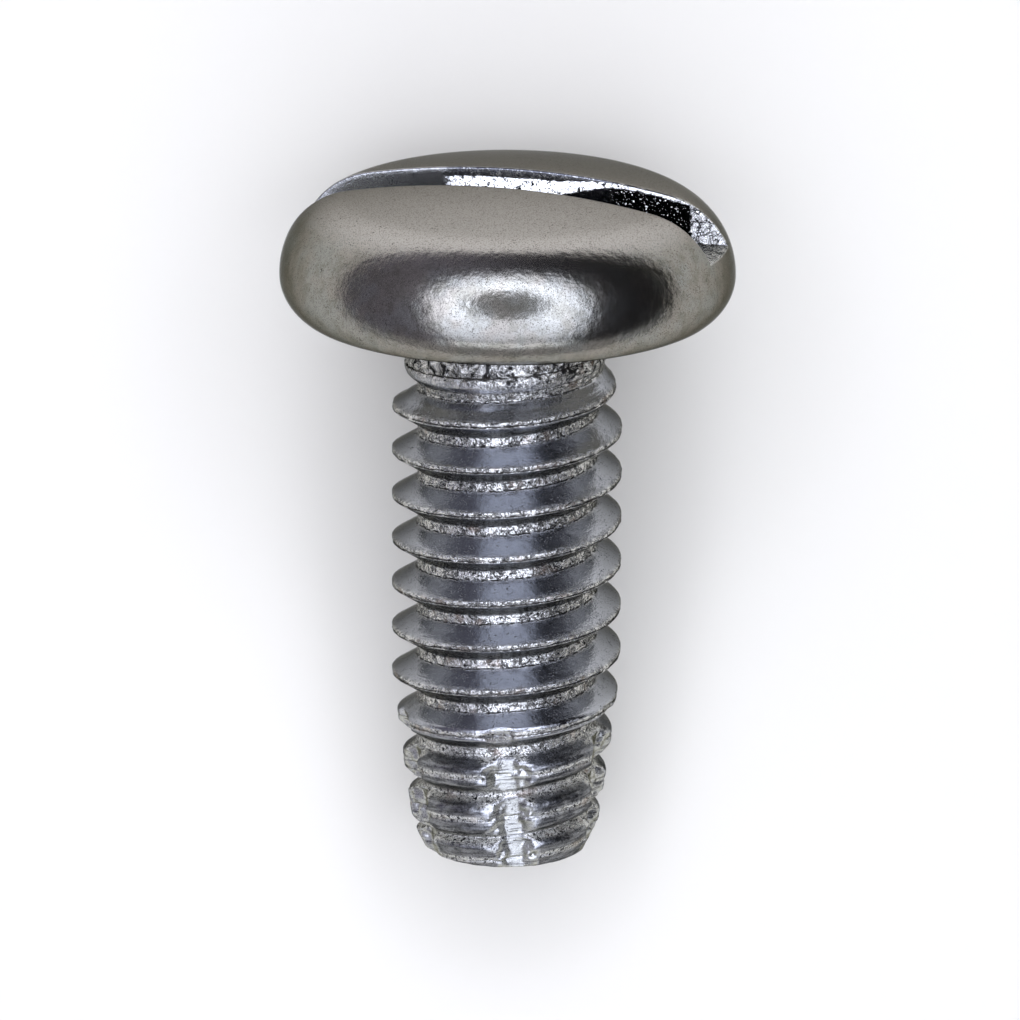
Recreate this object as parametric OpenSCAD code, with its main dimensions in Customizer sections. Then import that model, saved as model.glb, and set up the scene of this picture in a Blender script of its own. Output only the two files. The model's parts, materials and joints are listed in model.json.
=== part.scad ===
// Slotted pan head thread-cutting screw with five cutting flutes, lying at rest on the rim of its
// head and the lip of its point. Millimetres, +Z up, table at z = 0, the head towards +X.

/* [Head] */
// Diameter of the pan head
head_d = 12.48; // [11.9:0.01:12.8]
// Height of the head over its bearing face, at the middle of its crown
head_h = 3.65; // [3.3:0.01:4.1]
// Height of the widest part of the head over its bearing face
rim_h = 0.95; // [0.7:0.01:1.15]
// Radius of the rounded edge below the widest part
edge_r = 1.18; // [1.16:0.01:1.6]
// Radius of the crowned top
crown_r = 22; // [14:0.5:40]
// Width of the driver slot
slot_w = 1.9; // [1.4:0.01:2.2]
// Depth of the driver slot below the middle of the crown
slot_depth = 1.75; // [1.2:0.01:2.1]
// Turn of the slot about the axis, from square to the side of the screw that faces up
slot_turn = 15; // [0:1:40]

/* [Shank] */
// Length of the shank from the bearing face to the end of the point
shank_len = 15.5; // [13.5:0.1:20]
// Diameter of the plain neck, which is that of the blank before rolling
neck_d = 5.52; // [5.3:0.01:5.8]
// Length of the plain neck
neck_len = 0.9; // [0.8:0.05:2]
// Radius of the fillet between the bearing face and the neck
fillet_r = 0.55; // [0.45:0.01:0.7]

/* [Thread] */
// Outer diameter of the thread
major_d = 6.33; // [6.1:0.01:6.4]
// Diameter at the root of the thread
minor_d = 4.94; // [4.8:0.01:5.1]
// Distance along the axis from one turn to the next
pitch = 1.27; // [1.2:0.01:1.4]
// Width of the flat along the crest
crest_w = 0.15; // [0.1:0.01:0.2]
// Width of the flat along the root
root_w = 0.26; // [0.2:0.01:0.3]
// Distance from the bearing face to a crest, a quarter turn round from the side that faces up
crest_from_head = 3.45; // [2.9:0.01:4]
// Length over which the thread grows out of the neck
run_out_len = 1.5; // [1:0.1:3]

/* [Point] */
// Length over which the crests taper, up to where the nose begins
taper_len = 4.5; // [3:0.1:6]
// Diameter of the crests where the nose begins
nose_d = 5.1; // [5:0.01:5.3]
// Length of the steeper nose at the very end
nose_len = 0.6; // [0.4:0.05:0.8]
// Diameter of the flat end
end_d = 4.5; // [4.1:0.01:4.7]
// Height that the tapering thread keeps over its root, which goes in once the crests are this near it
point_thread_h = 0.35; // [0.3:0.01:0.45]

/* [Cutting flutes] */
// Number of flutes round the point
flutes = 5; // [3:1:6]
// Length of the point that the flutes reach along
flute_len = 4.5; // [3:0.1:5]
// Length over which the flutes run out at their upper ends
flute_run_out = 1.5; // [0.5:0.1:2]
// Depth of the flutes below the crests
flute_depth = 0.37; // [0.25:0.01:0.42]
// Width of a flute's flat floor
flute_floor_w = 0.44; // [0.3:0.01:0.6]
// Width of the side of a flute that carries the cutting edges
cutting_w = 0.4; // [0.3:0.01:0.5]
// Width of the side of a flute that clears the chip
relief_w = 0.46; // [0.3:0.01:0.6]
// Lean of the flutes from the axis, which sets them about square to the thread
flute_lean = 7; // [0:0.5:9]
// Turn of the flutes' lower ends about the axis, from the side of the screw that faces up
flute_turn = 8.5; // [0:0.5:20]

/* [Hidden] */
zinc = [0.62, 0.62, 0.6];
round_fn = 96;                    // facets round the head and the neck
arc_fn = 36;                      // facets in a full turn of their fillets and edges
turn_facets = 60;                 // about this many facets round the thread
apart = 0.02;                     // least distance between surfaces that would otherwise meet
beyond = 1;                       // how far a cutter reaches past what it cuts

head_r = head_d / 2;
neck_r = neck_d / 2;
major_r = major_d / 2;
minor_r = minor_d / 2;
nose_r = nose_d / 2;
end_r = end_d / 2;

// head outline: an edge arc below the widest part, a shoulder arc above it, then the crown
crown_z = head_h - crown_r;
shoulder_r = (head_r^2 + (rim_h - crown_z)^2 - crown_r^2) / (2 * (head_r - crown_r));
shoulder_x = head_r - shoulder_r;
shoulder_dir = atan2(shoulder_x, rim_h - crown_z);
edge_x = head_r - edge_r;

// lying at rest: the table touches the head's edge arc and the lip where the nose begins
nose_z = nose_len - shank_len;
taper_z = nose_z + taper_len;
rest_tilt = atan2(edge_x - nose_r, rim_h - nose_z)
    + asin(edge_r / norm([edge_x - nose_r, rim_h - nose_z]));
lift = nose_r * cos(rest_tilt) - nose_z * sin(rest_tilt);
high_x = rim_h * cos(rest_tilt) + shoulder_x * sin(rest_tilt) + shoulder_r;
low_x = -shank_len * cos(rest_tilt) - end_r * sin(rest_tilt);

// thread form: it starts to grow a flank's length below the neck, so that no flank reaches onto it
flank_len = (pitch - crest_w - root_w) / 2;
flank_slope = flank_len / (major_r - minor_r);
blank_r = neck_r - apart;
function taper_r(z) = major_r - max(0, taper_z - z) * (major_r - nose_r) / taper_len;
function thread_root_r(z) = min(minor_r, taper_r(z) - point_thread_h);
function grown(z) = max(0, min(1, (-neck_len - flank_len - z) / run_out_len));
function rolled_r(full_r, z) = blank_r + (full_r - blank_r) * grown(z);

// flute form: angles are clockwise from a flute's middle as the head sees them, in driving order
facets = round(turn_facets / flutes);
steps = flutes * facets;
sector = 360 / flutes;
degrees_per_mm = 180 / PI / nose_r;
floor_angle = flute_floor_w / 2 * degrees_per_mm;
cutting_angle = floor_angle + cutting_w * degrees_per_mm;
relief_angle = floor_angle + relief_w * degrees_per_mm;
lean_rate = tan(flute_lean) * degrees_per_mm;
land_facets = facets - 3;         // of a sector's facets, one is the floor and one each of its sides
land_step = (sector - relief_angle - cutting_angle) / land_facets;
facet_angles = concat(
    [-cutting_angle, -floor_angle, floor_angle],
    [for (i = [0 : land_facets - 1]) relief_angle + i * land_step]
);
function on_floor(facet) = facet == 1 || facet == 2;
function cut_in(z) = max(0, min(1, (flute_len - shank_len - z) / flute_run_out));
function flute_r(facet, z) = on_floor(facet) ? taper_r(z) - flute_depth * cut_in(z) : major_r;

// the thread turns clockwise as it goes down, and its facets lean with the flutes. Its first turn
// is all inside the neck, and its last is all past the flat end
turn_drop = pitch / (1 + pitch * lean_rate / 360);
first_z = -(crest_from_head / pitch + (90 - flute_turn + lean_rate * shank_len) / 360) * turn_drop;
half_turn = (pitch + root_w) / 2;
first_step = floor((first_z + neck_len - half_turn) * steps / turn_drop) - facets;
last_step = ceil((first_z + shank_len + half_turn) * steps / turn_drop);

// the four edges of one turn, from its upper root to its lower root, at one step round the helix
function edges(step) =
    let (
        sectors = floor(step / facets),
        facet = step - sectors * facets,
        angle = sectors * sector + facet_angles[facet],
        z = first_z - angle / 360 * turn_drop,
        way = flute_turn - 90 - angle - lean_rate * (z + shank_len),
        root_r = min(thread_root_r(z), flute_r(facet, z)),
        root_in = (minor_r - thread_root_r(z)) * flank_slope,
        root_out = min((pitch - root_w) / 2 + root_in, (turn_drop - apart) / 2),
        crest_r = min(taper_r(z), flute_r(facet, z)),
        crest_out = min(crest_w / 2 + (major_r - crest_r) * flank_slope, root_out - apart)
    )
    [for (p = [[root_r, root_out], [crest_r, crest_out], [crest_r, -crest_out], [root_r, -root_out]])
        let (r = rolled_r(p[0], z + p[1])) [r * cos(way), r * sin(way), z + p[1]]];

module head_outline() {
    intersection() {
        translate([0, crown_z]) circle(crown_r, $fn = 4 * arc_fn);
        square([crown_r * sin(shoulder_dir), head_h]);
    }
    intersection() {
        translate([shoulder_x, rim_h]) circle(shoulder_r, $fn = arc_fn);
        translate([0, rim_h]) square([head_r, head_h]);
    }
    intersection() {
        translate([edge_x, rim_h]) circle(edge_r, $fn = arc_fn);
        square([head_r, rim_h]);
    }
    square([edge_x, rim_h]);
}

module head() {
    difference() {
        rotate_extrude($fn = round_fn) head_outline();
        rotate([0, 0, -slot_turn]) translate([-head_d, -slot_w / 2, head_h - slot_depth])
            cube([2 * head_d, slot_w, head_h]);
    }
}

module neck() {
    translate([0, 0, -neck_len]) cylinder(r = neck_r, h = neck_len + apart, $fn = round_fn);
    rotate_extrude($fn = round_fn) difference() {
        translate([0, -fillet_r]) square([neck_r + fillet_r, fillet_r + apart]);
        translate([neck_r + fillet_r, -fillet_r]) circle(fillet_r, $fn = arc_fn);
    }
}

// one edge of one step in the list of points: 0 is the upper root, 1 and 2 the crest, 3 the lower root
function corner(i, edge) = 4 * i + edge;

module rolled_thread() {
    last = last_step - first_step;
    points = [for (i = [0 : last]) each edges(first_step + i)];
    top = len(points);
    bottom = top + 1;
    middles = [[0, 0, points[corner(0, 3)][2]], [0, 0, points[corner(last, 0)][2]]];
    flanks = [for (i = [0 : last - 1], edge = [0 : 2])
        [corner(i, edge), corner(i, edge + 1), corner(i + 1, edge + 1), corner(i + 1, edge)]];
    roots = [for (i = [0 : last - 1 - steps])
        [corner(i, 3), corner(i + steps, 0), corner(i + steps + 1, 0), corner(i + 1, 3)]];
    top_fan = [for (i = [0 : steps - 1]) [top, corner(i, 0), corner(i + 1, 0)]];
    bottom_fan = [for (i = [last - steps : last - 1]) [bottom, corner(i + 1, 3), corner(i, 3)]];
    top_step = [for (edge = [0 : 2]) [top, corner(0, edge + 1), corner(0, edge)]];
    bottom_step = [for (edge = [0 : 2]) [bottom, corner(last, edge), corner(last, edge + 1)]];
    seams = [
        [top, corner(steps, 0), corner(0, 3)],
        [bottom, corner(last - steps, 3), corner(last, 0)],
    ];
    polyhedron(
        concat(points, middles),
        concat(flanks, roots, top_fan, bottom_fan, top_step, bottom_step, seams)
    );
}

// everything outside the nose cone, and everything past the flat end
module nose_cutter() {
    widening = (nose_r - end_r) / nose_len;
    rotate_extrude($fn = round_fn) polygon([
        [end_r, -shank_len],
        [nose_r + widening * beyond, nose_z + beyond],
        [major_r + beyond, nose_z + beyond],
        [major_r + beyond, -shank_len - 2 * beyond],
        [0, -shank_len - 2 * beyond],
        [0, -shank_len],
    ]);
}

module shank() {
    difference() {
        rolled_thread();
        nose_cutter();
    }
}

module screw() {
    color(zinc)
        translate([-(low_x + high_x) / 2, 0, lift]) rotate([0, 90 - rest_tilt, 0]) rotate([0, 0, -90]) {
            head();
            neck();
            shank();
        }
}

screw();
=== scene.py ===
import json
import math

import bpy
import numpy as np
from mathutils import Matrix, Vector


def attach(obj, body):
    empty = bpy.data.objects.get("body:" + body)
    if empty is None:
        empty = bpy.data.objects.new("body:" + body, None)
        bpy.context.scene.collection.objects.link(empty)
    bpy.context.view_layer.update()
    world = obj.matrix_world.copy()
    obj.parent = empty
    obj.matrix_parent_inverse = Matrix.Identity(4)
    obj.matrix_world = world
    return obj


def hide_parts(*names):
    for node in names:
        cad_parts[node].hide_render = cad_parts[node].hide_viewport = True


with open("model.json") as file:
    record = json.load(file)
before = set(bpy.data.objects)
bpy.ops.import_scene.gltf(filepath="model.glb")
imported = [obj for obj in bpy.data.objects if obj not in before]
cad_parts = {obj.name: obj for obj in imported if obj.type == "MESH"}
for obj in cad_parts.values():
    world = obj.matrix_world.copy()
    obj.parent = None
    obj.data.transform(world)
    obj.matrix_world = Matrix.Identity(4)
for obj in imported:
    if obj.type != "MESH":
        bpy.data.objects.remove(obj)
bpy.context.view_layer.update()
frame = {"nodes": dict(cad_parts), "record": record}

MM = 0.001


# ---- the screw's own frame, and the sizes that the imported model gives

mounts = {m["name"]: m for m in frame["record"]["mounts"]}
seat = Vector(mounts["bearing_face"]["pos_m"])
axis_z = -Vector(mounts["bearing_face"]["axis"]).normalized()
axis_x = Vector((0, -1, 0))
axis_y = axis_z.cross(axis_x)
TURN = np.array([axis_x, axis_y, axis_z])


def to_row(points):
    """Points in the screw's own frame, in millimetres, as points in the row's frame, in metres."""
    return np.asarray(points) * MM @ TURN + np.array(seat)


def row_point(x, y, z):
    return Vector(to_row([x, y, z]))


corners = np.array([v.co for v in frame["nodes"]["screw"].data.vertices])
own = (corners - np.array(seat)) / MM @ TURN.T
HEAD_R = np.hypot(own[:, 0], own[:, 1]).max()
SHANK_LEN = -own[:, 2].min()
MAJOR_R = mounts["thread"]["dims"]["r_mm"]
SLOT_FLOOR = (Vector(mounts["driver_slot"]["pos_m"]) - seat).dot(axis_z) / MM

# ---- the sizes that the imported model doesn't give by name, in millimetres and radians

RIM_H = 0.95          # height of the head's widest part
EDGE_R = 1.18         # rounding below it
CROWN_R = 22.0        # radius of the crowned top
CROWN_TOP = 3.65      # height that the crown would have with no slot
SLOT_HALF = 0.95      # half the slot's width
SLOT_TURN = math.radians(15)
NECK_R = 2.76         # the plain neck, and its fillet under the head
NECK_LEN = 0.9
FILLET_R = 0.55
PITCH = 1.27
MINOR_R = 2.47        # radius at the root
CREST_W = 0.15
ROOT_W = 0.26
CREST_FROM_HEAD = 3.45  # from the bearing face to a crest on the side that faces up
RUN_OUT_LEN = 1.5     # over which the thread grows out of the neck
TAPER_LEN = 4.5
NOSE_R = 2.55         # where the taper ends and the steeper nose starts
NOSE_LEN = 0.6
END_R = 2.25          # radius of the flat end
END_ROUND = 0.12      # rounding of the point's last edge
CREST_ROUND = 0.04    # rounding of the crests, and what the point's crests have above it
POINT_ROUND = 0.22
CORNER_ROUND = 0.03   # rounding at the root and at the nose
ROOT_LEAD = 1.8       # how much sooner the root reaches its depth than the crest its height
FLUTES = 5
POINT_THREAD_H = 0.41  # height that the tapering thread keeps over its root
FLUTE_LEN = 4.5
FLUTE_RUN_OUT = 1.1   # over which the flutes reach their depth
FLUTE_DEPTH = 0.34
FLUTE_FLOOR_W = 0.44
CUTTING_W = 0.40      # widths of a flute's cutting side and of its relief side
RELIEF_W = 0.46
FLUTE_LEAN = math.radians(7)
FLUTE_TURN = math.radians(8.5)
FLUTE_ROUND = 0.07    # rounding of the flutes' edges
FLUTE_WAVER = 0.08    # how far the flutes' sides waver

TAPER_Z = NOSE_LEN - SHANK_LEN + TAPER_LEN    # height at which the taper starts
FLUTE_Z = FLUTE_LEN - SHANK_LEN               # height at which the flutes start
FLANK_LEN = (PITCH - CREST_W - ROOT_W) / 2
FLANK_SLOPE = FLANK_LEN / (MAJOR_R - MINOR_R)


# ---- noise for the small unevenness of the surfaces

def lattice(i, seed):
    """A fixed pseudo-random number from -1 to 1 for each whole-number point."""
    h = (i[:, 0] * 374761393 + i[:, 1] * 668265263 + i[:, 2] * 1440662683 + seed * 974711) & 0xFFFFFFFF
    h = ((h ^ (h >> 13)) * 1274126177) & 0xFFFFFFFF
    h = ((h ^ (h >> 16)) * 2246822519) & 0xFFFFFFFF
    return (h ^ (h >> 15)) / 0xFFFFFFFF * 2 - 1


def noise(points, scale, seed=0, octaves=1):
    """Smooth noise from about -1 to 1, with scale cells to the millimetre."""
    total, weight = np.zeros(len(points)), 0
    for octave in range(octaves):
        p = points * scale * 2 ** octave + 17.3 * octave
        cell = np.floor(p).astype(np.int64)
        f = p - cell
        f = f * f * (3 - 2 * f)
        value = np.zeros(len(points))
        for corner in range(8):
            step = np.array([corner & 1, corner >> 1 & 1, corner >> 2 & 1])
            share = np.prod(np.where(step, f, 1 - f), axis=1)
            value += share * lattice(cell + step, seed + 31 * octave)
        total += value / 2 ** octave
        weight += 1 / 2 ** octave
    return total / weight


def smooth(x, low, high):
    t = np.clip((x - low) / (high - low), 0, 1)
    return t * t * (3 - 2 * t)


def soft_min(a, b, width):
    gap = np.clip((b - a) / width + 0.5, 0, 1)
    return b + (a - b) * gap - width / 2 * gap * (1 - gap)


def soft_max(a, b, width):
    return -soft_min(-a, -b, width)


# ---- the shank: rows follow the thread, and columns lean with the flutes

RAD_PER_MM = 1 / NOSE_R                       # radians for a millimetre round the nose
LEAN_RATE = math.tan(FLUTE_LEAN) * RAD_PER_MM
FLOOR_TURN = FLUTE_FLOOR_W / 2 * RAD_PER_MM
CUTTING_TURN = FLOOR_TURN + CUTTING_W * RAD_PER_MM
RELIEF_TURN = FLOOR_TURN + RELIEF_W * RAD_PER_MM
SECTOR = 2 * math.pi / FLUTES
STRETCH = 1 + PITCH * LEAN_RATE / (2 * math.pi)

CUTTING_STEPS, FLOOR_STEPS, RELIEF_STEPS, LAND_STEPS = 8, 7, 9, 22
ROOT_STEPS, FLANK_STEPS, CREST_STEPS = 5, 8, 5
CORNER = 0.02                                 # how close a row lies to the profile's corners


def sector_columns():
    """Angles of the mesh's columns in one sector, clockwise from a flute's middle."""
    cutting = np.linspace(-CUTTING_TURN, -FLOOR_TURN, CUTTING_STEPS)
    floor = np.linspace(-FLOOR_TURN, FLOOR_TURN, FLOOR_STEPS)[1:]
    relief = np.linspace(FLOOR_TURN, RELIEF_TURN, RELIEF_STEPS)[1:]
    land = np.linspace(RELIEF_TURN, SECTOR - CUTTING_TURN, LAND_STEPS)[1:-1]
    return np.concatenate([cutting, floor, relief, land])


def profile_rows():
    """Offsets of the mesh's rows in one turn from the middle of the crest, downwards."""
    low = (PITCH - ROOT_W) / 2 - CORNER
    high = CREST_W / 2 + CORNER
    root = np.linspace(PITCH / 2, low, ROOT_STEPS)
    flank = np.linspace(low, high, FLANK_STEPS)[1:]
    crest = np.linspace(high, 0, CREST_STEPS)[1:]
    upper = np.concatenate([root, flank, crest])
    return np.concatenate([upper, -upper[-2:0:-1]])


def shank_grid():
    """For each column and row: angle, height, offset from the crest, and angle in the sector."""
    sector = sector_columns()
    angle = (np.arange(FLUTES)[:, None] * SECTOR + sector[None, :]).ravel()
    rows = profile_rows()
    base = -CREST_FROM_HEAD + PITCH / (2 * math.pi) * (
        FLUTE_TURN - math.pi / 2 - angle - LEAN_RATE * SHANK_LEN
    )
    first = math.floor(base.min() / PITCH) - 1
    turns = int(SHANK_LEN * STRETCH / PITCH) + 4
    turn = np.repeat(np.arange(turns), len(rows))
    offset = np.tile(rows, turns)
    height = (base[:, None] + (-first - turn[None, :]) * PITCH + offset[None, :]) / STRETCH
    way = FLUTE_TURN - math.pi / 2 - angle[:, None] - LEAN_RATE * (height + SHANK_LEN)
    return way, height, np.broadcast_to(offset, height.shape), np.tile(sector, FLUTES), len(rows)


def crest_radius(z):
    return MAJOR_R - np.clip(TAPER_Z - z, 0, None) * (MAJOR_R - NOSE_R) / TAPER_LEN


def root_radius(z):
    return np.minimum(MINOR_R, crest_radius(z) - POINT_THREAD_H)


def flute_radius(turn, z):
    """Radius that a flute cuts down to: flat along its floor, and rising evenly at both its sides."""
    cut_in = np.clip((FLUTE_Z - z) / FLUTE_RUN_OUT, -1, 1)
    cutting = (-turn - FLOOR_TURN) / (CUTTING_TURN - FLOOR_TURN)
    relief = (turn - FLOOR_TURN) / (RELIEF_TURN - FLOOR_TURN)
    side = np.clip(np.maximum(cutting, relief), 0, None)
    return crest_radius(z) + FLUTE_DEPTH * (side - cut_in)


def nose_radius(z):
    up = z + SHANK_LEN
    cone = END_R + up * (NOSE_R - END_R) / NOSE_LEN
    inner = np.clip(END_ROUND - up, 0, END_ROUND)
    return cone - (END_ROUND - np.sqrt(END_ROUND ** 2 - inner ** 2))


def shank_radius(z, offset, turn):
    """The thread's radius with its run-out, flutes and nose, and how far a flute has cut into it."""
    grown = np.clip((-NECK_LEN - FLANK_LEN - z) / RUN_OUT_LEN, 0, 1)
    deep = np.clip(grown * ROOT_LEAD, 0, 1)
    flank = MAJOR_R - (np.abs(offset) - CREST_W / 2) / FLANK_SLOPE
    at_point = smooth(-z, SHANK_LEN - 4.8, SHANK_LEN - 2.6)
    rounding = CREST_ROUND + POINT_ROUND * at_point
    crest = soft_min(crest_radius(z) + rounding / 8, flank, rounding)
    body = soft_max(crest, root_radius(z), CORNER_ROUND)
    shaped = NECK_R + (body - NECK_R) * np.where(body > NECK_R, grown, deep)
    flute = flute_radius(turn, z)
    cut = smooth(shaped - flute, -0.01, 0.04)
    fluted = soft_min(shaped, flute, FLUTE_ROUND)
    return soft_min(fluted, nose_radius(z), CORNER_ROUND), cut


def zones(z, offset):
    """Where the rolled surface is torn: along the roots, the crests' seam, the neck and the point."""
    point = smooth(-z, SHANK_LEN - 4.6, SHANK_LEN - 2.8)
    root = smooth(np.abs(offset), PITCH / 2 - 0.17, PITCH / 2 - 0.12)
    crest = 1 - smooth(np.abs(offset), 0.06, 0.11)
    neck = smooth(z, -1.9, -1.3)
    return root, crest, neck, point


def smeared(turn, offset, points, point):
    """Share of torn metal that the cutting of a flute has left beside it."""
    beside = np.exp(-(turn / 0.34) ** 2) * smooth(np.abs(offset), 0.22, 0.38)
    return point * smooth(beside + 0.35 * noise(points, 4.5, 9, 2), 0.35, 0.6)


# heights of the unevenness in millimetres: chips and rings by zone, and what is the same all over
LUMPS, SUNK = 0.004, 0.014
ROOT_CHIPS, CREST_CHIPS, NECK_CHIPS, POINT_CHIPS, CUT_CHIPS = 0.010, 0.014, 0.020, 0.006, 0.003
ROOT_RINGS, NECK_RINGS = 0.010, 0.035
SEAM_DEPTH, SEAM_W = 0.040, 0.03
DENT_DEPTH, SMEAR_H = 0.028, 0.005


def unevenness(z, offset, way, points, cut):
    """How far the surface stands off its smooth form, which it is sunk under a little all over."""
    root, crest, neck, point = zones(z, offset)
    ring = np.column_stack([np.cos(way) * 2.2, np.sin(way) * 2.2, z * 0.3 + offset * 3])
    lumps = noise(points, 4.5, 1, 2)
    chips = noise(points, 10, 2, 2)
    rings = noise(ring, 4.0, 3, 2)
    line = offset + SEAM_W - SEAM_W * noise(points, 4, 4)
    seam = np.exp(-(line / SEAM_W) ** 2) * smooth(noise(points, 3.0, 5), -0.6, 0.1)
    dents = smooth(noise(points, 2.2, 6, 2), 0.2, 0.5)
    smears = noise(ring * [1, 1, 2], 3.0, 7, 2)
    return (
        LUMPS * lumps
        + root * (ROOT_CHIPS * chips + ROOT_RINGS * rings)
        + crest * CREST_CHIPS * chips
        - SEAM_DEPTH * seam * crest
        + neck * (NECK_CHIPS * chips + NECK_RINGS * rings)
        + point * (1 - cut) * (POINT_CHIPS * chips - DENT_DEPTH * dents + SMEAR_H * smears)
        + cut * CUT_CHIPS * chips
        - SUNK
    )


def flute_entry(z, points, cut):
    """Share of torn metal where a flute starts and its cut is still shallow."""
    patches = smooth(noise(points, 5.5, 10, 2), -0.35, 0.05)
    return cut * smooth(z, FLUTE_Z - 0.8, FLUTE_Z - 0.5) * patches


def shank_surface(z, offset, way, turn):
    """Points of the shank, and how far each is torn, cut by a flute and part of the point."""
    around = np.stack([np.cos(way), np.sin(way)], axis=1)
    rough = np.column_stack([around * 2.8, z])
    r, cut = shank_radius(z, offset, turn + FLUTE_WAVER * noise(rough, 5.5, 8, 2))
    fade = smooth(-z, FILLET_R * 0.5, FILLET_R)
    r = r + fade * unevenness(z, offset, way, rough, cut)
    in_fillet = z > -FILLET_R
    arc = np.clip(-z / FILLET_R, 0, 1) * math.pi / 2
    r = np.where(in_fillet, NECK_R + FILLET_R * (1 - np.sin(arc)), r)
    z = np.where(in_fillet, -FILLET_R * (1 - np.cos(arc)), z)
    root, crest, neck, point = zones(z, offset)
    smear = smeared(turn, offset, rough, point)
    entry = flute_entry(z, rough, cut)
    cut = cut - entry
    torn = np.clip(root + 0.9 * crest + neck + 0.1 * point + smear, 0, 1) * (1 - smooth(cut, 0, 0.3))
    values = {"torn": np.maximum(torn, entry), "cut": cut, "point": point}
    return np.column_stack([around * r[:, None], z]), values


def shank_faces(height, per_turn):
    """Faces between the columns, and the vertices round the shank's top and round its end.

    One vertex stands for all those of a column that lie past the top, and one for those past the
    end. The last column meets the first one a turn lower.
    """
    columns, rows = height.shape
    index = np.arange(columns * rows).reshape(columns, rows)
    first = (height >= 0).sum(axis=1) - 1
    last = rows - (height <= -SHANK_LEN).sum(axis=1)
    for c in range(columns):
        index[c, :first[c]] = index[c, first[c]]
        index[c, last[c]:] = index[c, last[c]]
    wrapped = np.vstack([index, np.full(rows, -1)])
    wrapped[-1, :rows - per_turn] = index[0, per_turn:]
    wrapped[-1, rows - per_turn:] = index[0, -1]
    a, b = wrapped[:-1, :-1], wrapped[1:, :-1]
    d, e = wrapped[:-1, 1:], wrapped[1:, 1:]
    quads = np.stack([a, d, e, b], axis=-1).reshape(-1, 4)
    return quads, index[:, 0], index[:, -1]


def build_shank():
    """The shank from the bearing face to the flat end: points, values, faces and its two rings."""
    way, height, offset, turn, per_turn = shank_grid()
    z = np.clip(height, -SHANK_LEN, 0).ravel()
    turn = np.repeat(turn, height.shape[1])
    points, values = shank_surface(z, offset.ravel(), way.ravel(), turn)
    return points, values, *shank_faces(height, per_turn)


def tidy_faces(quads):
    """Faces with each repeated corner dropped, and those with no area left out."""
    faces = []
    for quad in quads.tolist():
        face = [v for i, v in enumerate(quad) if v != quad[i - 1]]
        if len(set(face)) == len(face) and len(face) > 2:
            faces.append(face)
    return faces


# ---- the head: one grid across the crown, in line with the slot, and rings down its side

CROWN_Z = CROWN_TOP - CROWN_R
SHOULDER_R = (HEAD_R ** 2 + (RIM_H - CROWN_Z) ** 2 - CROWN_R ** 2) / (2 * (HEAD_R - CROWN_R))
SHOULDER_X = HEAD_R - SHOULDER_R
SHOULDER_DIR = math.atan2(SHOULDER_X, RIM_H - CROWN_Z)
CROWN_EDGE = CROWN_R * math.sin(SHOULDER_DIR)
TOP_EDGE_Z = SLOT_FLOOR - 0.05                # the crown's grid ends just below the slot's floor
TOP_EDGE_R = SHOULDER_X + math.sqrt(SHOULDER_R ** 2 - (TOP_EDGE_Z - RIM_H) ** 2)
FLOOR_EDGE_R = SHOULDER_X + math.sqrt(SHOULDER_R ** 2 - (SLOT_FLOOR - RIM_H) ** 2)
BAND = 1.35                                   # half the width of the band that holds the slot
SLOT_ROUND = 0.06                             # rounding along the slot's edges
CROWN_STEPS = 4                               # steps of the band's section on the crown
COLUMNS = 89                                  # columns between the ends of the slot's floor
SIDE_ROWS = 34                                # rows from the band to the rim of the crown
UNDERSIDE_R = (4.8, 4.1, 3.6)                 # rings on the bearing face


def head_height(rho):
    crown = CROWN_Z + np.sqrt(CROWN_R ** 2 - rho ** 2)
    shoulder = RIM_H + np.sqrt(np.clip(SHOULDER_R ** 2 - (rho - SHOULDER_X) ** 2, 0, None))
    return np.where(rho < CROWN_EDGE, crown, shoulder)


def band_section():
    """The slot's section from one side of the band to the other: place across, and share of depth.

    Each step is (v, depth, round): v is the place across, depth goes from 0 at the crown to 1 at
    the floor, and round is the share of SLOT_ROUND that the edge is lowered by.
    """
    places = np.linspace(BAND, SLOT_HALF + SLOT_ROUND, CROWN_STEPS + 1)
    outer = [(-v, 0.0, 0.0) for v in places[:-1]]
    edge = []
    for a in np.linspace(0, math.pi / 2, 5):
        edge.append((-SLOT_HALF - SLOT_ROUND * (1 - math.sin(a)), 0.0, 1 - math.cos(a)))
    wall = [(-SLOT_HALF, d, 1.0 if d < 0.3 else 0.0) for d in np.linspace(0, 1, 13)[1:-1]]
    foot = [(-SLOT_HALF + SLOT_ROUND * (1 - math.cos(a)), 1 - 0.035 * (1 - math.sin(a)), 0.0)
            for a in np.linspace(0, math.pi / 2, 4)]
    floor = [(v, 1.0, 0.0) for v in np.linspace(-SLOT_HALF + SLOT_ROUND, 0, 6)[1:]]
    half = outer + edge + wall + foot + floor
    return half + [(-v, d, k) for v, d, k in half[-2::-1]]


def head_columns():
    """Places along the slot, from -1 to 1, with the last step at the floor's edge."""
    inner = np.sin(np.linspace(-1, 1, COLUMNS) * math.pi / 2) * FLOOR_EDGE_R / TOP_EDGE_R
    return np.concatenate([[-1], inner, [1]])


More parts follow.
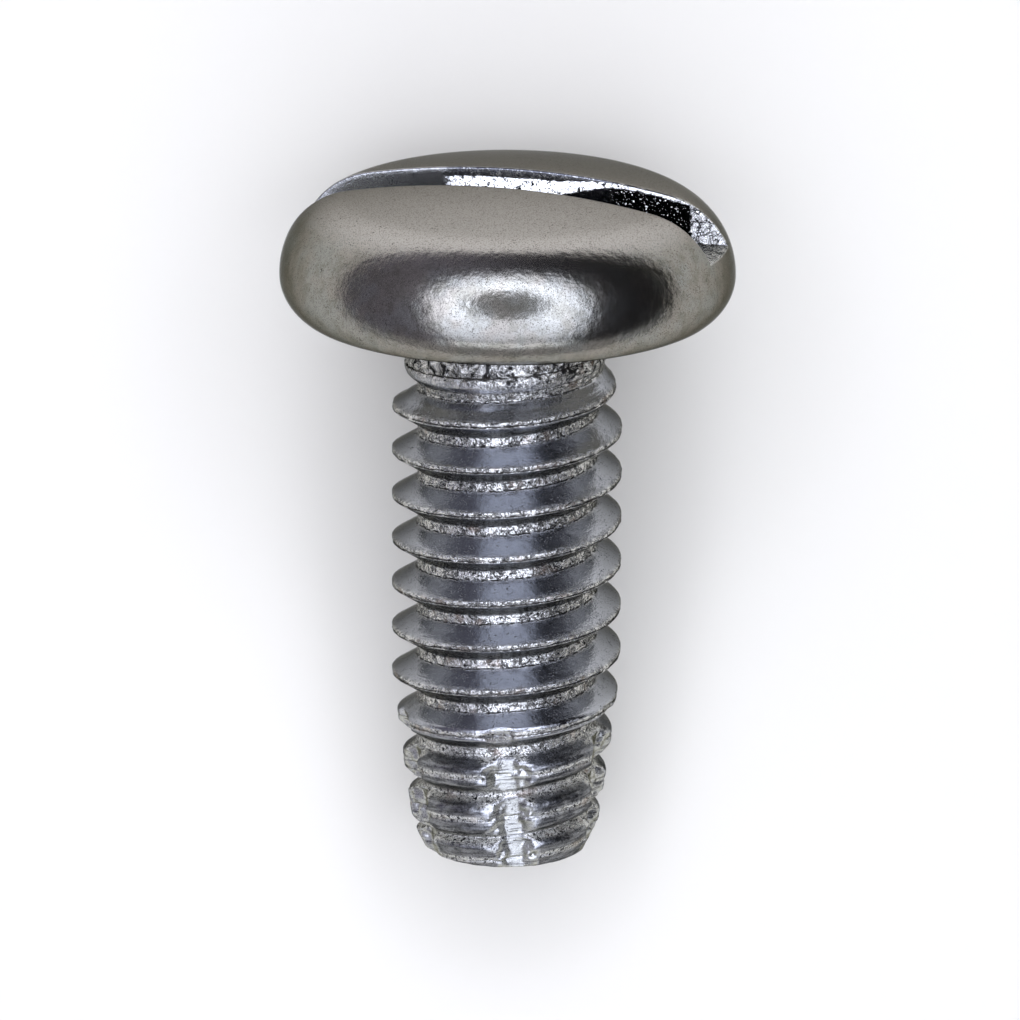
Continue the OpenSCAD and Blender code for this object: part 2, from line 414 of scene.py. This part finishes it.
def slot_band():
    """Grid of the band along the slot: points by column and row."""
    t = head_columns()
    section = band_section()
    v = np.array([s[0] for s in section])
    depth = np.array([s[1] for s in section])
    lowered = np.array([s[2] for s in section])
    reach = np.sqrt(TOP_EDGE_R ** 2 - v ** 2)
    u = t[:, None] * reach[None, :]
    v = np.broadcast_to(v, u.shape)
    top = head_height(np.hypot(u, v))
    room = np.clip(top - SLOT_FLOOR, 0, None)
    edge = np.minimum(SLOT_ROUND, room / 2)
    z = top - edge * lowered - (room - edge * lowered) * depth
    z[[0, -1], :] = TOP_EDGE_Z
    return u, v, z


def side_grid():
    """Grids from the band's edges to the rim of the crown, in front of the slot and behind it."""
    t = head_columns()
    u = t * math.sqrt(TOP_EDGE_R ** 2 - BAND ** 2)
    reach = np.sqrt(TOP_EDGE_R ** 2 - u ** 2)
    g = np.sin(np.linspace(0, 1, SIDE_ROWS) * math.pi / 2)
    v = BAND + (reach[:, None] - BAND) * g[None, :]
    u = np.broadcast_to(u[:, None], v.shape)
    return u, v, head_height(np.minimum(np.hypot(u, v), TOP_EDGE_R))


def side_profile():
    """Radius and height of the rings down the head's side, from the crown's grids to the shank."""
    start = math.asin((TOP_EDGE_Z - RIM_H) / SHOULDER_R)
    bottom = math.asin(RIM_H / EDGE_R)
    rows = [(SHOULDER_X + SHOULDER_R * math.cos(a), RIM_H + SHOULDER_R * math.sin(a))
            for a in np.linspace(start, 0, 12)[1:]]
    rows += [(HEAD_R - EDGE_R + EDGE_R * math.cos(a), RIM_H - EDGE_R * math.sin(a))
             for a in np.linspace(0, bottom, 15)[1:]]
    edge = rows[-1][0]
    rows += [(r, 0.0) for r in (edge - 0.05, edge - 0.3, *UNDERSIDE_R)]
    return np.array(rows)


class Grids:
    """Points gathered grid by grid, and the faces woven over them."""

    def __init__(self):
        self.points, self.quads = np.empty((0, 3)), []

    def add(self, u, v, z):
        """Index of each new point, in the shape of the grid."""
        start = len(self.points)
        self.points = np.vstack([self.points, np.stack([u, v, z], axis=-1).reshape(-1, 3)])
        return np.arange(start, start + u.size).reshape(u.shape)

    def weave(self, index, flip=False):
        a, b, c, d = index[:-1, :-1], index[1:, :-1], index[1:, 1:], index[:-1, 1:]
        order = [a, d, c, b] if flip else [a, b, c, d]
        self.quads.append(np.stack(order, axis=-1).reshape(-1, 4))


def add_crown(grids):
    """The slot's band and the crown on both its sides: the band's grid, and the ring round them."""
    band = grids.add(*slot_band())
    u, v, z = side_grid()
    far = grids.add(u, v, z)
    near = grids.add(u, -v, z)
    far[:, 0], near[:, 0] = band[:, -1], band[:, 0]
    far[0, :], far[-1, :] = band[0, -1], band[-1, -1]
    near[0, :], near[-1, :] = band[0, 0], band[-1, 0]
    grids.weave(band)
    grids.weave(far)
    grids.weave(near, flip=True)
    # counter-clockwise from the middle of one end
    middle = band.shape[1] // 2
    ring = np.concatenate([
        band[-1, middle:], far[-2:0:-1, -1], band[0, ::-1], near[1:-1, -1], band[-1, :middle],
    ])
    return band, ring


def build_head():
    """Points and faces of the head, its ring at the shank, and the grid of the slot's band."""
    grids = Grids()
    band, ring = add_crown(grids)
    turn = np.arctan2(grids.points[ring, 1], grids.points[ring, 0])
    r, z = side_profile().T
    u, v = np.cos(turn)[:, None] * r[None, :], np.sin(turn)[:, None] * r[None, :]
    side = grids.add(u, v, np.broadcast_to(z, u.shape))
    rings = np.column_stack([ring, side])
    grids.weave(np.vstack([rings, rings[:1]]), flip=True)
    return grids.points, np.concatenate(grids.quads), side[:, -1], band


def zip_rings(outer, inner, outer_turn, inner_turn):
    """Triangles between two rings of vertices, both counter-clockwise, matched by angle."""
    outer_turn, inner_turn = np.unwrap(outer_turn), np.unwrap(inner_turn)
    start = int(np.argmin(np.abs((inner_turn - outer_turn[0] + math.pi) % (2 * math.pi) - math.pi)))
    inner = np.roll(inner, -start)
    inner_turn = np.unwrap(np.roll(inner_turn, -start))
    inner_turn += round((outer_turn[0] - inner_turn[0]) / (2 * math.pi)) * 2 * math.pi
    n, m = len(outer), len(inner)
    outer_end = np.append(outer_turn, outer_turn[0] + 2 * math.pi)
    inner_end = np.append(inner_turn, inner_turn[0] + 2 * math.pi)
    faces, i, j = [], 0, 0
    while i < n or j < m:
        step_outer = j == m or (i < n and outer_end[i + 1] <= inner_end[j + 1])
        if step_outer:
            faces.append([outer[i % n], inner[j % m], outer[(i + 1) % n]])
            i += 1
        else:
            faces.append([outer[i % n], inner[j % m], inner[(j + 1) % m]])
            j += 1
    return faces


def end_face(points, ring):
    """Rings that shrink to a middle point over the flat end: all the points, and the new faces."""
    faces, low = [], points[ring]
    for share in (0.97, 0.85, 0.65, 0.4, 0.18):
        index = np.arange(len(points), len(points) + len(low))
        points = np.vstack([points, low * [share, share, 1]])
        faces += np.stack([ring, index, np.roll(index, -1), np.roll(ring, -1)], axis=-1).tolist()
        ring = index
    middle = len(points)
    faces += [[a, middle, b] for a, b in zip(ring.tolist(), np.roll(ring, -1).tolist())]
    return np.vstack([points, [0, 0, -SHANK_LEN]]), faces


def build_screw():
    """The whole screw as one surface: points, faces, and each value for every point."""
    shank, values, quads, top, low = build_shank()
    head, head_quads, head_ring, band = build_head()
    c, s = math.cos(SLOT_TURN), math.sin(SLOT_TURN)
    head = head @ np.array([[c, -s, 0], [s, c, 0], [0, 0, 1]])
    start = len(shank)
    points = np.vstack([shank, head])
    faces = tidy_faces(quads) + tidy_faces(head_quads + start)
    # the shank's columns run clockwise, so its top ring is turned round
    inner, outer = top[::-1], head_ring + start
    inner_turn = np.arctan2(points[inner, 1], points[inner, 0])
    outer_turn = np.arctan2(points[outer, 1], points[outer, 0])
    faces += zip_rings(outer, inner, outer_turn, inner_turn)
    points, end_faces = end_face(points, low)
    faces += end_faces
    zone = {key: np.zeros(len(points)) for key in ("slot", "head", *values)}
    for key, value in values.items():
        zone[key][:start] = value
    inside = CROWN_STEPS + 1
    zone["slot"][band[1:-1, inside:-inside].ravel() + start] = 1
    zone["head"][start:start + len(head)] = 1
    return points, faces, zone


def make_object(name, points, faces, values):
    """Object of the points that the faces use, with the own frame's places and the values on it."""
    used = np.unique(np.concatenate([np.asarray(f) for f in faces]))
    renumber = np.full(len(points), -1)
    renumber[used] = np.arange(len(used))
    faces = [[int(renumber[v]) for v in f] for f in faces]
    points = points[used]
    mesh = bpy.data.meshes.new(name)
    mesh.from_pydata(to_row(points).tolist(), [], faces)
    mesh.update()
    mesh.shade_smooth()
    place = mesh.attributes.new("own", "FLOAT_VECTOR", "POINT")
    place.data.foreach_set("vector", points.astype(np.float32).ravel())
    for key, value in values.items():
        layer = mesh.attributes.new(key, "FLOAT", "POINT")
        layer.data.foreach_set("value", value[used].astype(np.float32))
    obj = bpy.data.objects.new(name, mesh)
    bpy.context.scene.collection.objects.link(obj)
    return obj


# ---- materials

class Nodes:
    """Short calls for a material's or world's node tree."""

    def __init__(self, tree):
        self.tree = tree
        tree.nodes.clear()

    def add(self, kind, **settings):
        node = self.tree.nodes.new(kind)
        for key, value in settings.items():
            setattr(node, key, value)
        return node

    def link(self, source, target):
        self.tree.links.new(source, target)

    def put(self, target, value):
        if isinstance(value, bpy.types.NodeSocket):
            self.link(value, target)
        else:
            target.default_value = value

    def math(self, operation, *values, clamp=False):
        node = self.add("ShaderNodeMath", operation=operation, use_clamp=clamp)
        for i, value in enumerate(values):
            self.put(node.inputs[i], value)
        return node.outputs[0]

    def times(self, first, *others):
        for value in others:
            first = self.math("MULTIPLY", first, value)
        return first

    def larger(self, a, b):
        return self.math("MAXIMUM", a, b)

    def rest(self, value):
        return self.math("SUBTRACT", 1.0, value)

    def parts(self, vector):
        node = self.add("ShaderNodeSeparateXYZ")
        self.link(vector, node.inputs[0])
        return node.outputs

    def attribute(self, name, output="Fac"):
        return self.add("ShaderNodeAttribute", attribute_name=name).outputs[output]

    def noise(self, vector, scale, detail=3.0, rough=0.55, distortion=0.0):
        node = self.add("ShaderNodeTexNoise")
        self.link(vector, node.inputs["Vector"])
        node.inputs["Scale"].default_value = scale
        node.inputs["Detail"].default_value = detail
        node.inputs["Roughness"].default_value = rough
        node.inputs["Distortion"].default_value = distortion
        return node.outputs["Fac"]

    def ramp(self, value, low, high, to_low=0.0, to_high=1.0):
        """A smooth step from to_low, where the value is low, to to_high, where it is high."""
        node = self.add("ShaderNodeMapRange", interpolation_type="SMOOTHSTEP")
        for i, v in enumerate((value, low, high, to_low, to_high)):
            self.put(node.inputs[i], v)
        return node.outputs[0]

    def line(self, value, middle, full, none):
        """1 where a value is within full of the middle, and 0 where it is further off than none."""
        off = self.math("ABSOLUTE", self.math("SUBTRACT", value, middle))
        return self.ramp(off, full, none, 1.0, 0.0)

    def mix(self, share, a, b):
        node = self.add("ShaderNodeMix", data_type="RGBA")
        self.put(node.inputs[0], share)
        self.put(node.inputs[6], a)
        self.put(node.inputs[7], b)
        return node.outputs[2]

    def bump(self, height, strength, distance, under=None):
        node = self.add("ShaderNodeBump")
        self.put(node.inputs["Height"], height)
        self.put(node.inputs["Strength"], strength)
        node.inputs["Distance"].default_value = distance
        if under is not None:
            self.link(under, node.inputs["Normal"])
        return node.outputs["Normal"]


def thread_offset(n, place):
    """Height of a point over the middle of the nearest crest, in millimetres."""
    x, y, z = n.parts(place)
    rise = n.math("MULTIPLY_ADD", n.math("ARCTAN2", y, x), -PITCH / (2 * math.pi), CREST_FROM_HEAD)
    return n.math("WRAP", n.math("ADD", z, rise), PITCH / 2, -PITCH / 2)


def along_thread(n, place, offset):
    """Coordinates that are drawn out along the thread, for marks that run with it."""
    across, up = 9.0, 0.4                     # how close the marks lie across it, and from turn to turn
    x, y, z = n.parts(place)
    join = n.add("ShaderNodeCombineXYZ")
    n.link(x, join.inputs["X"])
    n.link(y, join.inputs["Y"])
    n.link(n.math("MULTIPLY_ADD", offset, across, n.times(z, up)), join.inputs["Z"])
    return join.outputs[0]


def along_slot(n, place):
    """How far along the slot a point is, from its left end to its right end, in millimetres."""
    x, y, _ = n.parts(place)
    return n.math("MULTIPLY_ADD", y, -math.sin(SLOT_TURN), n.times(x, math.cos(SLOT_TURN)))


def depth_below_crown(n, place):
    """How far a point lies under the crowned top, in millimetres."""
    x, y, z = n.parts(place)
    across = n.math("MULTIPLY_ADD", y, y, n.times(x, x))
    crown = n.math("MULTIPLY_ADD", across, -1 / (2 * CROWN_R), CROWN_TOP)
    return n.math("SUBTRACT", crown, z)


class Surface:
    """Where a point of the screw is, its zones from the mesh, and the noises that its marks share."""

    def __init__(self, n):
        place = self.place = n.attribute("own", "Vector")
        self.height = n.parts(place)["Z"]
        self.torn, self.cut = n.attribute("torn"), n.attribute("cut")
        self.head, self.slot = n.attribute("head"), n.attribute("slot")
        self.shank = n.rest(self.head)
        self.plain = n.rest(n.attribute("point"))
        self.neck = n.times(n.ramp(self.height, -1.75, -1.25), self.shank)
        self.offset = thread_offset(n, place)
        self.depth = depth_below_crown(n, place)
        self.cloud = n.noise(place, 1.1, 4)
        self.patches = n.noise(place, 3.4, 3)
        self.mottle = n.noise(place, 5.5, 2)
        self.grain = n.noise(place, 21, 3, 0.6)
        self.fine = n.noise(place, 27, 1, 0.5)
        self.chips = n.noise(place, 12, 5, 0.65, 1.0)
        self.folds = n.noise(place, 3.0, 5, 0.6, 1.2)
        self.lines = n.noise(along_thread(n, place, self.offset), 1.7, 4, 0.6)
        self.waver = n.math("MULTIPLY_ADD", n.noise(place, 4.5, 4, 0.65), 0.09, -0.045)
        self.pits = n.ramp(n.math("ADD", self.fine, n.times(self.patches, 0.6)), 0.96, 1.06)

    def on_head(self, n, shank_value, head_value):
        return n.ramp(self.head, 0.0, 1.0, shank_value, head_value)


class SlotMarks:
    """Marks in the slot, from its left end to its right end: a darker left end, rubbed metal, painted
    shade on the wall that turns black towards the right end, and crumpled metal.
    """

    def __init__(self, n, s):
        black_from, crumple_from = (2.3, 2.9), (4.9, 4.95)     # along the slot, in millimetres
        along = along_slot(n, s.place)
        end = n.math("MULTIPLY_ADD", s.waver, 3.0, along)
        below = n.math("MULTIPLY_ADD", s.waver, 1.6, s.depth)
        wall = n.times(n.ramp(along, -2.2, -1.8), n.ramp(end, *crumple_from, 1.0, 0.0), s.slot)
        climb = n.ramp(along, 0.6, 3.2)
        top = n.ramp(n.math("MULTIPLY_ADD", climb, 0.24, below), 0.24, 0.29)
        low = n.ramp(n.math("MULTIPLY_ADD", climb, 0.56, below), 0.64, 0.72, 1.0, 0.0)
        rubbed = n.times(top, low, n.ramp(s.chips, 0.40, 0.50))
        # painted shade that turns black towards the slot's right end
        self.shade_to_black = n.ramp(end, *black_from)
        # painted glints: small spots there that the painted shade leaves out
        glints = n.times(self.shade_to_black, n.ramp(s.grain, 0.63, 0.67))
        rubbed = n.times(n.larger(rubbed, glints), wall)
        flecks = n.ramp(s.chips, 0.50, 0.62, 0.97, 0.6)
        # painted shade on the slot's wall outside the rubbed band
        self.shade = n.times(n.rest(rubbed), wall, n.larger(flecks, self.shade_to_black))
        # darker towards the slot's left end
        self.darker_left_end = n.times(s.slot, n.ramp(along, -2.0, -1.6, 0.6, 0.0))
        self.crumple = n.times(n.ramp(end, *crumple_from), s.slot)
        self.rubbed = n.larger(rubbed, self.crumple)


# the zinc's colours, with painted light and painted shade among them

DULL, WARM, BLOTCH = (0.375, 0.378, 0.362, 1), (0.365, 0.345, 0.317, 1), (0.237, 0.233, 0.20, 1)
# painted light: the lighter zinc towards the top of the head
LIT_CROWN = (0.595, 0.568, 0.555, 1)
FLANK = (0.495, 0.513, 0.575, 1)
LAND_LOW, LAND_HIGH = (0.07, 0.075, 0.088, 1), (0.27, 0.28, 0.31, 1)
# the second colour is painted shade in the pits
SPECK, PIT_SHADE = (0.15, 0.145, 0.13, 1), (0.06, 0.055, 0.05, 1)
# the torn metal's chips, painted black and white: painted shade and painted glints
CHIP_SHADE, CHIP_GLINT = (0.04, 0.04, 0.042, 1), (1.0, 1.0, 1.0, 1)
RUST = (0.42, 0.33, 0.28, 1)
FRESH_CUT, HATCHING = (0.84, 0.86, 0.93, 1), (0.20, 0.205, 0.23, 1)
# the first colour is painted light, a nearly white copy of the zinc for the slot
SLOT_LIGHT, SLOT_END, SLOT_SHADE = (0.93, 0.935, 0.94, 1), (0.3, 0.31, 0.34, 1), (0.12, 0.125, 0.15, 1)
# painted shade: black at the slot's right end and in creases, and dark along seams, edges and cracks
BLACK_SHADE, LINE_SHADE = (0.03, 0.03, 0.033, 1), (0.035, 0.032, 0.03, 1)
FILM_TINT, EDGE_TINT = (0.76, 0.75, 0.68, 1), (0.27, 0.27, 0.25, 1)


def dark_lines(n, s):
    """Painted shade in the seam where the dies' flows met on the crest, along the torn root's ragged
    edge, and in cracks.
    """
    ragged = n.math("ADD", s.offset, s.waver)
    seam = n.times(n.line(ragged, -0.045, 0.010, 0.028), n.ramp(s.patches, 0.32, 0.42))
    edge = n.times(n.line(n.math("ABSOLUTE", ragged), 0.49, 0.008, 0.024), n.ramp(s.mottle, 0.42, 0.52))
    edge = n.times(edge, n.larger(s.plain, n.times(s.cut, 1.3)))
    cracks = n.times(n.line(s.chips, 0.5, 0.012, 0.035), s.torn, n.ramp(s.patches, 0.42, 0.55))
    dark = n.larger(n.times(n.larger(seam, cracks), n.rest(s.cut)), edge)
    fainter_at_point = n.math("MULTIPLY_ADD", s.plain, 0.6, 0.4)
    off_end_face = n.ramp(s.height, 0.03 - SHANK_LEN, 0.12 - SHANK_LEN)
    return n.times(dark, s.shank, fainter_at_point, off_end_face)


def plated_colour(n, s):
    """Clouded and blotched zinc on the head, painted lighter towards its top as painted light, cleaner
    on the flanks, and lined at the point.
    """
    colour = n.mix(n.ramp(s.cloud, 0.38, 0.62), DULL, WARM)
    colour = n.mix(n.ramp(n.noise(s.place, 2.6, 6, 0.7), 0.45, 0.62, 0.0, 0.55), colour, BLOTCH)
    # painted light: the head painted lighter towards its top
    colour = n.mix(n.times(n.ramp(s.height, 2.3, 3.1), s.head), colour, LIT_CROWN)
    colour = n.mix(s.shank, colour, FLANK)
    land = n.mix(n.ramp(s.lines, 0.42, 0.58), LAND_LOW, LAND_HIGH)
    colour = n.mix(n.rest(s.plain), colour, land)
    specks = n.times(n.ramp(s.fine, 0.50, 0.66), s.on_head(n, 0.25, 0.55))
    return n.mix(specks, colour, SPECK)


def worked_colour(n, s, colour):
    """Chips where the metal is torn, painted black and white as painted shade and painted glints, with
    a little rust, and bare hatched metal where it is cut.
    """
    broken = n.math("MULTIPLY_ADD", n.math("SUBTRACT", s.folds, s.chips), s.neck, s.chips)
    # the torn metal is real; the black and white of its chips are painted shade and painted glints
    colour = n.mix(s.torn, colour, n.mix(n.ramp(broken, 0.43, 0.48), CHIP_SHADE, CHIP_GLINT))
    rust = n.times(s.torn, n.ramp(n.noise(s.place, 1.6, 3), 0.56, 0.68), 0.55)
    colour = n.mix(rust, colour, RUST)
    hatching = n.ramp(s.lines, 0.40, 0.46, 0.7, 0.0)
    return n.mix(s.cut, colour, n.mix(hatching, FRESH_CUT, HATCHING))


def slot_colour(n, s, marks, colour):
    # painted light: the slot painted nearly white
    colour = n.mix(s.slot, colour, SLOT_LIGHT)
    # painted shade on the slot's wall, turning black towards its right end
    colour = n.mix(marks.shade, colour, n.mix(marks.shade_to_black, SLOT_SHADE, BLACK_SHADE))
    # darker towards the slot's left end
    return n.mix(marks.darker_left_end, colour, SLOT_END)


def zinc_colour(n, s, marks, dark):
    colour = slot_colour(n, s, marks, worked_colour(n, s, plated_colour(n, s)))
    creased = n.larger(marks.crumple, n.times(s.neck, 0.6))
    # painted shade in the creases of the crumpled metal in the slot and at the neck
    colour = n.mix(n.times(n.line(s.folds, 0.5, 0.018, 0.045), creased, 0.95), colour, BLACK_SHADE)
    # painted shade in the pits, which the bump also sinks
    colour = n.mix(n.times(s.pits, 0.7), colour, PIT_SHADE)
    # painted shade along the crests' seam, the torn roots' edge and the cracks
    return n.mix(n.times(dark, 0.92), colour, LINE_SHADE)


def zinc_roughness(n, s):
    rough = n.math("MULTIPLY_ADD", s.grain, 0.10, s.on_head(n, 0.09, 0.11))
    rough = n.math("ADD", rough, n.times(s.pits, s.on_head(n, 0.3, 0.0)))
    rough = n.math("ADD", rough, n.times(s.head, 0.05))
    return n.math("ADD", rough, n.ramp(s.plain, 0.0, 1.0, 0.14, 0.0), clamp=True)


def zinc_normal(n, s, marks, dark):
    """Bumps from the widest to the finest, each with its strength and its height in metres."""
    lines = n.times(s.shank, n.math("MULTIPLY_ADD", s.plain, -0.2, 0.9))
    chips = n.math("MULTIPLY_ADD", s.cut, 0.35, s.torn, clamp=True)
    folds = n.larger(marks.crumple, n.times(s.neck, 0.45))
    sunk = n.times(n.larger(s.pits, dark), -1.0)
    normal = None
    for height, strength, distance in (
        (s.cloud, 0.5, 2e-5),
        (s.patches, 0.6, 1.8e-5),
        (s.mottle, s.on_head(n, 0.8, 0.45), 8e-6),
        (s.grain, s.on_head(n, 1.0, 0.05), 4e-6),
        (s.lines, lines, 9e-6),
        (s.chips, chips, 2.5e-5),
        (s.folds, folds, 1.2e-4),
        (n.noise(s.place, 12, 4, 0.6), n.times(s.slot, 0.8), 1e-5),
        (s.depth, marks.rubbed, 4.2e-4),
        (sunk, s.on_head(n, 0.8, 0.06), 2e-5),
    ):
        normal = n.bump(height, strength, distance, normal)
    return normal


def zinc():
    """Zinc plated steel: dull and clouded on the head, smoother on the flanks, torn at the roots."""
    material = bpy.data.materials.new("zinc_plate")
    material.use_nodes = True
    n = Nodes(material.node_tree)
    shader = n.add("ShaderNodeBsdfPrincipled")
    n.link(shader.outputs[0], n.add("ShaderNodeOutputMaterial").inputs[0])
    s = Surface(n)
    marks, dark = SlotMarks(n, s), dark_lines(n, s)
    n.link(zinc_colour(n, s, marks, dark), shader.inputs["Base Color"])
    n.link(zinc_roughness(n, s), shader.inputs["Roughness"])
    n.link(zinc_normal(n, s, marks, dark), shader.inputs["Normal"])
    shader.inputs["Metallic"].default_value = 1
    shader.inputs["Specular Tint"].default_value = EDGE_TINT
    # the passivated film on the zinc, which takes more of the light that crosses it at a slant
    n.link(n.larger(s.cut, 0.48), shader.inputs["Coat Weight"])
    shader.inputs["Coat IOR"].default_value = 1.02
    shader.inputs["Coat Tint"].default_value = FILM_TINT
    return material


def glow(name, colour, strength, share=None):
    """Light of one colour, weaker where the mesh's attribute of the given name is below 1."""
    material = bpy.data.materials.new(name)
    material.use_nodes = True
    n = Nodes(material.node_tree)
    shader = n.add("ShaderNodeEmission")
    shader.inputs["Color"].default_value = colour
    n.put(shader.inputs["Strength"], n.times(n.attribute(share), strength) if share else strength)
    n.link(shader.outputs[0], n.add("ShaderNodeOutputMaterial").inputs[0])
    return material


# ---- the stage

ELEVATION = math.radians(17.2)                # of the camera over the screw's own cross plane
target = row_point(0.09, 0, -5.85)            # the middle of the view
to_camera = (axis_z * math.sin(ELEVATION) - axis_y * math.cos(ELEVATION)).normalized()
picture_up = (axis_z * math.cos(ELEVATION) + axis_y * math.sin(ELEVATION)).normalized()
picture_right = picture_up.cross(to_camera)
CAMERA_AWAY = 0.32
FIELD = 0.02805                               # width of the view at the screw
ROLL = math.radians(0.2)
FLOOR_COLOUR = (0.87, 0.835, 0.73, 1)
PANEL_COLOUR, PANEL_STRENGTH = (0.80, 0.84, 1.0, 1), 6.0
HOLE_COLOUR, HOLE_STRENGTH = (0.88, 0.90, 1.0, 1), 0.45
TENT_DARK, TENT_LEFT = (0.015, 0.015, 0.018, 1), (0.22, 0.21, 0.265, 1)
TENT_PAST_POINT, TENT_LOBE = (0.46, 0.46, 0.50, 1), (2.0, 2.1, 2.35, 1)


def stage_object(name, points, faces, material, seen=False):
    """A mesh that belongs to the stage, which the camera sees only where it says so."""
    mesh = bpy.data.meshes.new(name)
    mesh.from_pydata(points, [], faces)
    mesh.materials.append(material)
    obj = bpy.data.objects.new(name, mesh)
    bpy.context.scene.collection.objects.link(obj)
    obj.visible_camera = seen
    return obj


def make_floor():
    """A plain pale floor that the screw lies on, and that shows its shadow."""
    material = bpy.data.materials.new("floor")
    material.use_nodes = True
    n = Nodes(material.node_tree)
    shader = n.add("ShaderNodeBsdfDiffuse")
    shader.inputs["Color"].default_value = FLOOR_COLOUR
    n.link(shader.outputs[0], n.add("ShaderNodeOutputMaterial").inputs[0])
    points = [(x, y, 0) for x, y in ((-1, -1), (1, -1), (1, 1), (-1, 1))]
    stage_object("floor", points, [(0, 1, 2, 3)], material, seen=True)


def make_ring_light():
    """A flat panel round the line of sight, squarer towards the point, with a round hole."""
    away, segments = 0.30, 96
    middle = target + to_camera * away
    side, up, down, hole, hole_up = 0.88, 1.30, 1.35, 0.38, 0.20   # as shares of its distance
    edge_share, low_dimming = 0.15, 0.50
    outer, inner, share = [], [], []
    for i in range(segments):
        a = 2 * math.pi * i / segments
        c, s = math.cos(a), math.sin(a)
        square = 1 if s > 0 else 0.5
        x = side * math.copysign(abs(c) ** square, c)
        y = (up if s > 0 else down) * math.copysign(abs(s) ** square, s)
        outer.append(middle + (picture_right * x + picture_up * y) * away)
        inner.append(middle + (picture_right * hole * c + picture_up * (hole_up + hole * s)) * away)
        share.append(1 + low_dimming * min(s, 0))
    nxt = [(i + 1) % segments for i in range(segments)]
    faces = [(i, k, segments + k, segments + i) for i, k in enumerate(nxt)]
    material = glow("ring_light", PANEL_COLOUR, PANEL_STRENGTH, "share")
    ring = stage_object("ring_light", outer + inner, faces, material)
    strength = ring.data.attributes.new("share", "FLOAT", "POINT")
    strength.data.foreach_set("value", [edge_share] * segments + share)
    dim = glow("hole", HOLE_COLOUR, HOLE_STRENGTH)
    stage_object("hole", inner, [tuple(range(segments))], dim)


def tent_colour(n):
    """Nearly black, paler to the left and beyond the point, with a bright lobe low ahead of it."""
    x, y, z = n.parts(n.add("ShaderNodeTexCoord").outputs["Object"])
    rise = n.math("DIVIDE", z, n.larger(n.times(x, -1.0), 0.001))
    colour = n.mix(n.ramp(y, -0.2, 0.4), TENT_DARK, TENT_LEFT)
    past_point = n.times(n.ramp(rise, 0.38, 0.55, 1.0, 0.0), n.ramp(x, -0.1, 0.0, 1.0, 0.0))
    colour = n.mix(past_point, colour, TENT_PAST_POINT)
    low = n.times(n.ramp(rise, 0.40, 0.66), n.ramp(rise, 0.80, 1.10, 1.0, 0.0))
    ahead = n.ramp(n.math("ABSOLUTE", y), 0.18, 0.34, 1.0, 0.0)
    return n.mix(n.times(low, ahead), colour, TENT_LOBE)


def make_tent():
    """A dome over the stage that only reflections show."""
    material = bpy.data.materials.new("tent")
    material.use_nodes = True
    n = Nodes(material.node_tree)
    shader = n.add("ShaderNodeEmission")
    n.link(tent_colour(n), shader.inputs["Color"])
    n.link(shader.outputs[0], n.add("ShaderNodeOutputMaterial").inputs[0])
    radius, around, up = 0.6, 48, 12
    points, faces = [], []
    for j in range(up + 1):
        e = math.pi / 2 * j / up
        for i in range(around):
            a = 2 * math.pi * i / around
            flat = radius * math.cos(e)
            points.append((flat * math.cos(a), flat * math.sin(a), radius * math.sin(e)))
    for j in range(up):
        here, above = j * around, (j + 1) * around
        for i in range(around):
            k = (i + 1) % around
            faces.append((here + i, here + k, above + k, above + i))
    stage_object("tent", points, faces, material)


def make_world():
    """White where the camera, a reflection or clear material sees it, and no light elsewhere."""
    world = bpy.data.worlds.new("studio")
    bpy.context.scene.world = world
    world.use_nodes = True
    n = Nodes(world.node_tree)
    background = n.add("ShaderNodeBackground")
    background.inputs["Color"].default_value = (1, 1, 1, 1)
    rays = n.add("ShaderNodeLightPath")
    seen = n.larger(rays.outputs["Is Camera Ray"], rays.outputs["Is Glossy Ray"])
    n.link(n.larger(seen, rays.outputs["Is Transmission Ray"]), background.inputs["Strength"])
    n.link(background.outputs[0], n.add("ShaderNodeOutputWorld").inputs[0])


def make_camera():
    """The camera over the lying screw, with its small roll."""
    data = bpy.data.cameras.new("camera")
    data.sensor_width = 36
    data.lens = data.sensor_width * CAMERA_AWAY / FIELD
    camera = bpy.data.objects.new("camera", data)
    bpy.context.scene.collection.objects.link(camera)
    right = picture_right * math.cos(ROLL) + picture_up * math.sin(ROLL)
    up = picture_up * math.cos(ROLL) - picture_right * math.sin(ROLL)
    turn = Matrix((right, up, to_camera)).transposed().to_4x4()
    camera.matrix_world = Matrix.Translation(target + to_camera * CAMERA_AWAY) @ turn
    bpy.context.scene.camera = camera


# ---- the scene

points, faces, values = build_screw()
screw = make_object("zinc_screw", points, faces, values)
screw.data.materials.append(zinc())
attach(screw, "root")
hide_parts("screw")
print("triangles", sum(len(p.vertices) - 2 for p in screw.data.polygons))

make_floor()
make_ring_light()
make_tent()
make_world()
make_camera()
bpy.context.scene.view_settings.view_transform = "Standard"
